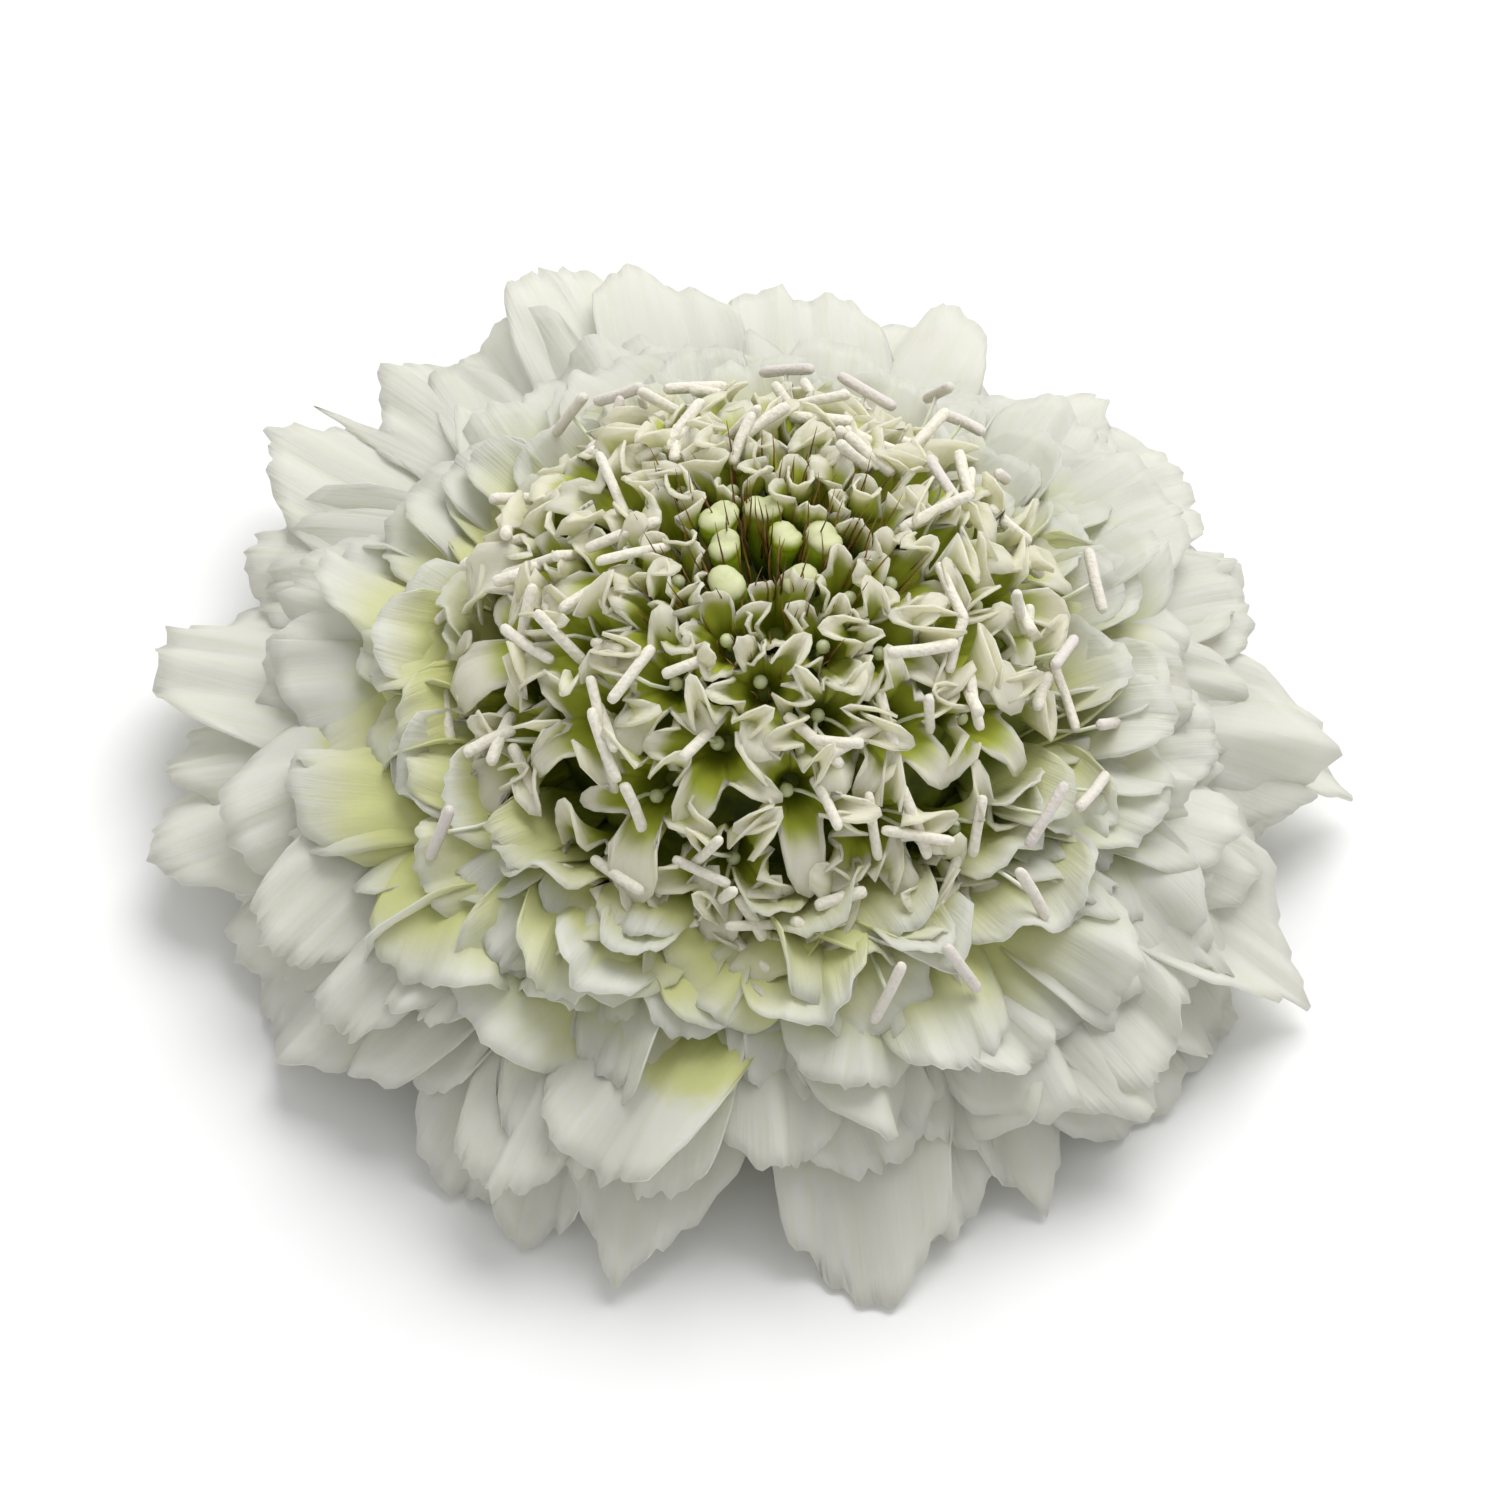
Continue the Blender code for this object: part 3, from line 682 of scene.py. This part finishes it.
# Anthers: rods on thin filaments
antherLook = {
    "cream": (0.86, 0.82, 0.72),
    "mauve": (0.74, 0.68, 0.66),
    "shade": (0.66, 0.63, 0.48),
    "grainDepth": 0.08,
}
anthers = {
    "first": 23,
    "length": 3.5,
    "radius": 0.30,
    "distance": 16.3,
    "tilt": 0.4,
    "sides": 8,
    "spread": 1.7,
    "lengthSpread": (0.70, 1.15),
    "radiusSpread": (0.85, 1.1),
    "mauvePolar": (38, 62),
    "filament": 0.11,
    "filamentSides": 5,
    "filamentRings": (0.0, 0.33, 0.67, 1.0),
    "mouthBelow": 1.4,
    # anthers that stand clear of the disc: polar angle, azimuth, distance and turn
    "clear": [
        (60, 51, 18.0, 60), (57, 36, 17.2, 20), (36, 30, 16.9, 80), (57, -9, 17.4, 60), (69, -15, 18.4, 40),
        (70, -28, 18.9, 70), (72, -48, 19.9, 10), (76, -62, 20.4, 20), (76, -73, 20.3, 150), (72, 214, 19.8, 0),
        (60, 86, 17.9, 50), (56, 104, 17.2, 110), (62, 117, 18.2, 30), (54, 69, 17.4, 75), (66, 60, 19.0, 30),
        (63, 10, 18.4, 100), (66, -38, 18.6, 120), (64, 126, 18.4, 20),
    ],
    "rings": ((0.0, 0.50), (0.03, 0.82), (0.10, 1.0), (0.5, 0.96), (0.90, 1.0), (0.97, 0.82), (1.0, 0.50)),
}


def antherFinish():
    look = antherLook
    finish = Finish("anther cream", 0.82)
    tone = finish.attribute("tone")
    grains = finish.noise(4200.0, 2.0)
    colour = finish.mix(tone.ramp(0.55, 1.0), look["cream"], look["mauve"])
    colour = finish.mix(grains.ramp(0.35, 0.65), finish.mix(0.45, colour, look["shade"]), colour)
    finish.feed("Base Color", colour)
    finish.bump(grains, look["grainDepth"] * mm)
    return finish.material


def alongTo(start, end):
    return Matrix.Translation(start) @ (end - start).to_track_quat("Z", "Y").to_matrix().to_4x4()


def addRod(bm, start, end, rings, sides, tone, bow=0.0, folds=0, foldDepth=0.0, cleft=0.0):
    # a rod through rings, each given by its share of the length and its radius, closed at both ends
    length = (end - start).length
    made = bmesh.ops.create_circle(bm, cap_ends=True, segments=sides, radius=rings[0][1])["verts"]
    edges = list({edge for vert in made for edge in vert.link_edges})
    for before, ring in zip(rings, rings[1:]):
        rim = bmesh.ops.extrude_edge_only(bm, edges=edges)["geom"]
        verts = [item for item in rim if isinstance(item, bmesh.types.BMVert)]
        edges = [item for item in rim if isinstance(item, bmesh.types.BMEdge)]
        share = ring[1] / before[1]
        bmesh.ops.scale(bm, vec=(share, share, 1), verts=verts)
        bmesh.ops.translate(bm, vec=(0, 0, length * (ring[0] - before[0])), verts=verts)
        made += verts
    bmesh.ops.contextual_create(bm, geom=edges)
    for vert in made:
        along = vert.co.z / length
        mark(bm, vert, along, 0.0, tone, 0.0)
        fold = 1 + foldDepth * along * math.cos(folds * math.atan2(vert.co.y, vert.co.x))
        sink = cleft * along**8 * math.exp(-((vert.co.x / 0.3) ** 2))
        vert.co = (vert.co.x * fold + bow * 4 * along * (1 - along), vert.co.y * fold, vert.co.z - sink)
    bmesh.ops.transform(bm, matrix=alongTo(start, end), verts=made)


def addAnther(bm, threads, mouth, middle, along, r, tone, draw):
    rings = [(share, r * part) for share, part in anthers["rings"]]
    addRod(bm, middle - along, middle + along, rings, anthers["sides"], tone, draw.uniform(-0.12, 0.12))
    thread = [(share, anthers["filament"]) for share in anthers["filamentRings"]]
    addRod(threads, mouth, middle, thread, anthers["filamentSides"], 0.5, draw.uniform(-0.5, 0.5))


def antherRods():
    draw = random.Random(41)
    bm = newMesh()
    threads = newMesh()
    look = anthers
    for polar, azimuth in discPlaces()[look["first"] - head["buds"]:]:
        out, down, side = outDownSide(polar, azimuth)
        mouth = head["middle"] + out * (discFlorets["mouthDistance"] - look["mouthBelow"])
        for _ in range(draw.choice((1, 2, 2, 3))):
            turn = draw.uniform(0, 2 * math.pi)
            lean = draw.uniform(-look["tilt"], look["tilt"]) + draw.choice((0.0, 0.0, 0.8))
            offset = (down * draw.uniform(-1, 1) + side * draw.uniform(-1, 1)) * look["spread"]
            middle = head["middle"] + out * (look["distance"] + draw.uniform(-0.5, 0.5)) + offset
            length = look["length"] * draw.uniform(*look["lengthSpread"])
            along = (down * math.cos(turn) + side * math.sin(turn) + out * lean).normalized() * length / 2
            r = look["radius"] * draw.uniform(*look["radiusSpread"])
            tone = smooth(*look["mauvePolar"], polar) * 0.6 * draw.random()
            tone = tone + 0.45 * smooth(0, 1, math.sin(math.radians(azimuth)))  # the far ones are more mauve
            addAnther(bm, threads, mouth, middle, along, r, tone, draw)
    for polar, azimuth, distance, turn in look["clear"]:
        out, down, side = outDownSide(polar, azimuth)
        turn = math.radians(turn)
        along = down * math.cos(turn) + side * math.sin(turn) + out * draw.uniform(-0.2, 0.3)
        along = along * look["length"] / 2
        addAnther(bm, threads, head["middle"] + out * 14, head["middle"] + out * distance, along, look["radius"],
                  draw.uniform(0.7, 1.0), draw)
    addPiece("anthers", bm, antherFinish(), "disc_florets")
    finish = plainFinish("filament white", (0.80, 0.81, 0.70), (0.70, 0.74, 0.50), 0.5)
    addPiece("filaments", threads, finish, "disc_florets")


def plainFinish(name, colour, second, roughness, scale=700.0, depth=0.05):
    finish = Finish(name, roughness)
    mottle = finish.noise(scale, 3.0)
    finish.feed("Base Color", finish.mix(mottle.ramp(0.35, 0.65), colour, second))
    finish.feed("Roughness", roughness + (mottle - 0.5) * 0.2)
    finish.bump(mottle, depth * mm)
    return finish.material


# A thread with a round head in the throat of each floret, but for the two youngest
stigma = {
    "first": 2,
    "below": 0.9,
    "length": 2.5,
    "threadRadius": 0.14,
    "headRadius": 0.36,
}


def stigmas():
    bm = newMesh()
    radius = stigma["threadRadius"]
    for polar, azimuth in discPlaces()[stigma["first"]:]:
        out = outDownSide(polar, azimuth)[0]
        top = head["middle"] + out * (discFlorets["mouthDistance"] - stigma["below"])
        addRod(bm, top - out * stigma["length"], top, ((0.0, radius), (1.0, radius)), 5, 0.5)
        made = bmesh.ops.create_icosphere(bm, subdivisions=2, radius=stigma["headRadius"])["verts"]
        for vert in made:
            mark(bm, vert, 1.0, 0.0, 0.5, 0.0)
        bmesh.ops.translate(bm, vec=top, verts=made)
    finish = plainFinish("stigma green", (0.66, 0.70, 0.42), (0.74, 0.77, 0.54), 0.35)
    addPiece("stigmas", bm, finish, "disc_florets")


# Buds in the pit in the middle: a green neck under a pale folded cap. The neck's near-black green low in the pit
# is partly its own colour and partly painted shade.
buds = {
    "tops": (15.1, 15.7),
    "radii": (0.72, 0.88),
    "length": 5.0,
    # share of the length and of the radius
    "rings": ((0.0, 0.50), (0.40, 0.66), (0.62, 0.86), (0.74, 1.00), (0.80, 1.05), (0.84, 1.02), (0.86, 1.10),
              (0.91, 1.10), (0.95, 0.94), (0.98, 0.60), (1.0, 0.24)),
    # the neck is green, darkened nearly to black as painted shade at the bottom of the pit
    "neck": (0.05, 0.10, 0.002),
    "body": (0.38, 0.50, 0.02),
    "cap": (0.64, 0.67, 0.38),
    "bodyFrom": (0.10, 0.50),
    "capFrom": (0.86, 0.95),
    "sides": 16,
    "bow": 0.2,
    "folds": 2,
    "foldDepth": 0.14,
    "cleft": 0.35,
}


def budFinish():
    finish = Finish("bud green", 0.45)
    along, tone = finish.attribute("along"), finish.attribute("tone")
    mottle = finish.noise(1300.0, 3.0)
    reach = along + (mottle - 0.5) * 0.10 + (tone - 0.5) * 0.12
    colour = finish.mix(reach.ramp(*buds["bodyFrom"]), buds["neck"], buds["body"])
    colour = finish.mix(reach.ramp(*buds["capFrom"]), colour, buds["cap"])
    finish.feed("Base Color", colour)
    finish.feed("Roughness", 0.42 + mottle * 0.2)
    finish.bump(mottle, 0.05 * mm)
    return finish.material


def centreBuds():
    draw = random.Random(51)
    bm = newMesh()
    for number in range(head["firstBud"], head["buds"]):
        polar, azimuth = spiralPlace(number)
        out, down, side = outDownSide(polar, azimuth)
        grown = number / head["buds"]
        top = head["middle"] + out * (buds["tops"][0] + (buds["tops"][1] - buds["tops"][0]) * grown)
        radius = buds["radii"][0] + (buds["radii"][1] - buds["radii"][0]) * grown
        rings = [(share, radius * part) for share, part in buds["rings"]]
        lean = down * draw.uniform(-0.3, 0.5) + side * draw.uniform(-0.4, 0.4)
        addRod(bm, top - out * buds["length"], top + lean, rings, buds["sides"], draw.random(), buds["bow"],
               buds["folds"], buds["foldDepth"], buds["cleft"])
    addPiece("budsWithCaps", bm, budFinish(), "centre_buds")


# Thin dark bristles in tufts between the buds and the youngest florets
bristles = {
    "last": 24,
    "tuft": 7,
    "length": (3.0, 4.9),
    "rings": ((0.0, 0.06), (0.4, 0.06), (0.75, 0.042), (1.0, 0.012)),
    "sides": 4,
    "rootDistance": 12.6,
    "tuftRadius": 0.9,
}


def bristleTufts():
    draw = random.Random(61)
    bm = newMesh()
    for number in range(head["firstBud"], bristles["last"]):
        polar, azimuth = spiralPlace(number)
        out, down, side = outDownSide(polar, azimuth)
        for _ in range(bristles["tuft"]):
            turn = draw.uniform(0, 2 * math.pi)
            ways = down * math.cos(turn) + side * math.sin(turn)
            root = head["middle"] + out * bristles["rootDistance"] + ways * bristles["tuftRadius"]
            tip = root + (out + ways * draw.uniform(-0.05, 0.35)) * draw.uniform(*bristles["length"])
            addRod(bm, root, tip, bristles["rings"], bristles["sides"], 0.5, draw.uniform(-0.3, 0.3))
    finish = plainFinish("bristle brown", (0.12, 0.055, 0.01), (0.32, 0.18, 0.04), 0.5)
    addPiece("bristles", bm, finish, "centre_buds")


# The green dome of packed floret tubes that everything grows from. It dips at the pit and narrows below. Its
# dark green is partly the tubes' own colour and partly painted shade in the gaps between florets.
tubes = {
    "radius": 12.0,
    "bumps": 0.5,
    "bumpSharpness": 18,
    "number": 97,
    "narrowing": 2.0,
    "pitDepth": 1.8,
    "foot": 4.4,
}
stalk = {
    # bracts of each row: how many, reach, width, height and first azimuth
    "bractRows": ((7, 15.2, 4.2, 3.6, 0.0), (7, 11.2, 3.6, 3.0, 25.7)),
    "bractRoot": (3.2, 4.4),
    "bractWall": 0.35,
    "foot": 1.0,
    "top": 5.0,
    "rings": ((0.0, 1.15), (0.4, 1.2), (0.6, 1.5), (0.8, 2.6), (1.0, 4.2)),
    "sides": 24,
}


def floretTubes():
    bm = newMesh()
    made = bmesh.ops.create_uvsphere(bm, u_segments=96, v_segments=56, radius=1.0)["verts"]
    centres = [outDownSide(*spiralPlace(number))[0] for number in range(tubes["number"])]
    for vert in made:
        way = vert.co.normalized()
        near = min((way - c).length for c in centres)
        polar = math.degrees(math.acos(max(-1, min(1, way.z))))
        radius = tubes["radius"] - smooth(66, 110, polar) * tubes["narrowing"]
        radius = radius - smooth(14, 6, polar) * tubes["pitDepth"]
        radius += tubes["bumps"] * math.cos(min(near * tubes["bumpSharpness"], 3.1))
        vert.co = head["middle"] + way * radius
        vert.co.z = max(vert.co.z, tubes["foot"])
        mark(bm, vert, 0.5, 0.0, 0.5, 0.0)
    # dark green: partly the tubes' own colour, partly painted shade where the dome shows between the florets
    finish = plainFinish("tube green and painted shade", (0.10, 0.14, 0.008), (0.24, 0.28, 0.02), 0.6)
    addPiece("floretTubes", bm, finish, "disc_florets")


def bractsAndStalk():
    draw = random.Random(71)
    bm = newMesh()
    for count, reach, width, height, start in stalk["bractRows"]:
        for number in range(count):
            azimuth = start + 360.0 / count * number
            across = outDownSide(90, azimuth)[2]
            addPetal(bm, ringPoint(azimuth, *stalk["bractRoot"]), ringPoint(azimuth, reach / 2, height + 0.4),
                     ringPoint(azimuth, reach, height), across, width, draw, grid=(9, 12), point=1.0,
                     ruffle=0.04, nick=0.01, claw=0.5)
    finish = plainFinish("leaf green", (0.13, 0.20, 0.05), (0.20, 0.29, 0.09), 0.6)
    addPiece("bracts", bm, finish, "stalk_and_bracts", stalk["bractWall"])
    bm = newMesh()
    addRod(bm, Vector((0, 0, stalk["foot"])), Vector((0, 0, stalk["top"])), stalk["rings"], stalk["sides"], 0.5)
    addPiece("stalk", bm, finish, "stalk_and_bracts")


outerPetals()
hangingPetals()
for rowNumber, petalRow in enumerate(innerRays["rows"]):
    innerPetals(rowNumber, petalRow)
nearPetals()
discPetals()
antherRods()
stigmas()
centreBuds()
bristleTufts()
floretTubes()
bractsAndStalk()


# Floor, light and camera
studio = {
    "floorSize": 4.0,
    "floorColour": (0.92, 0.92, 0.92),
    "skyStrength": 0.60,
    "camera": {"aim": Vector((-0.75, 0.0, 6.0)) * mm, "distance": 0.3, "elevation": 55.0, "lens": 144.0},
    # name, place, size and power of each soft light
    "lights": [
        ("top light", (0.22, 0.42, 0.82), 0.8, 7.2),
    ],
}


def setStage():
    floorMesh = bpy.data.meshes.new("floor")
    bm = bmesh.new()
    bmesh.ops.create_grid(bm, x_segments=1, y_segments=1, size=studio["floorSize"] / 2)
    bm.to_mesh(floorMesh)
    bm.free()
    floor = bpy.data.objects.new("floor", floorMesh)
    finish = Finish("floor white", 0.9)
    finish.shader.inputs["Base Color"].default_value = (*studio["floorColour"], 1.0)
    finish.shader.inputs["Specular IOR Level"].default_value = 0.1
    floorMesh.materials.append(finish.material)
    bpy.context.scene.collection.objects.link(floor)
    world = bpy.data.worlds.new("soft sky")
    world.use_nodes = True
    sky = world.node_tree.nodes["Background"]
    sky.inputs["Color"].default_value = (1.0, 1.0, 1.0, 1.0)
    sky.inputs["Strength"].default_value = studio["skyStrength"]
    bpy.context.scene.world = world
    aim = studio["camera"]["aim"]
    for name, place, size, power in studio["lights"]:
        lamp = bpy.data.lights.new(name, "AREA")
        lamp.shape = "DISK"
        lamp.size = size
        lamp.energy = power
        light = bpy.data.objects.new(name, lamp)
        light.location = place
        light.rotation_euler = (aim - Vector(place)).to_track_quat("-Z", "Y").to_euler()
        bpy.context.scene.collection.objects.link(light)


def setCamera():
    view = studio["camera"]
    up = math.radians(view["elevation"])
    lens = bpy.data.cameras.new("camera")
    lens.lens = view["lens"]
    lens.sensor_width = 36.0
    lens.clip_start = 0.001
    camera = bpy.data.objects.new("camera", lens)
    camera.location = view["aim"] + Vector((0, -math.cos(up), math.sin(up))) * view["distance"]
    camera.rotation_euler = (view["aim"] - camera.location).to_track_quat("-Z", "Y").to_euler()
    bpy.context.scene.collection.objects.link(camera)
    bpy.context.scene.camera = camera
    bpy.context.scene.view_settings.view_transform = "Standard"


setStage()
setCamera()
print("stage and camera are set")
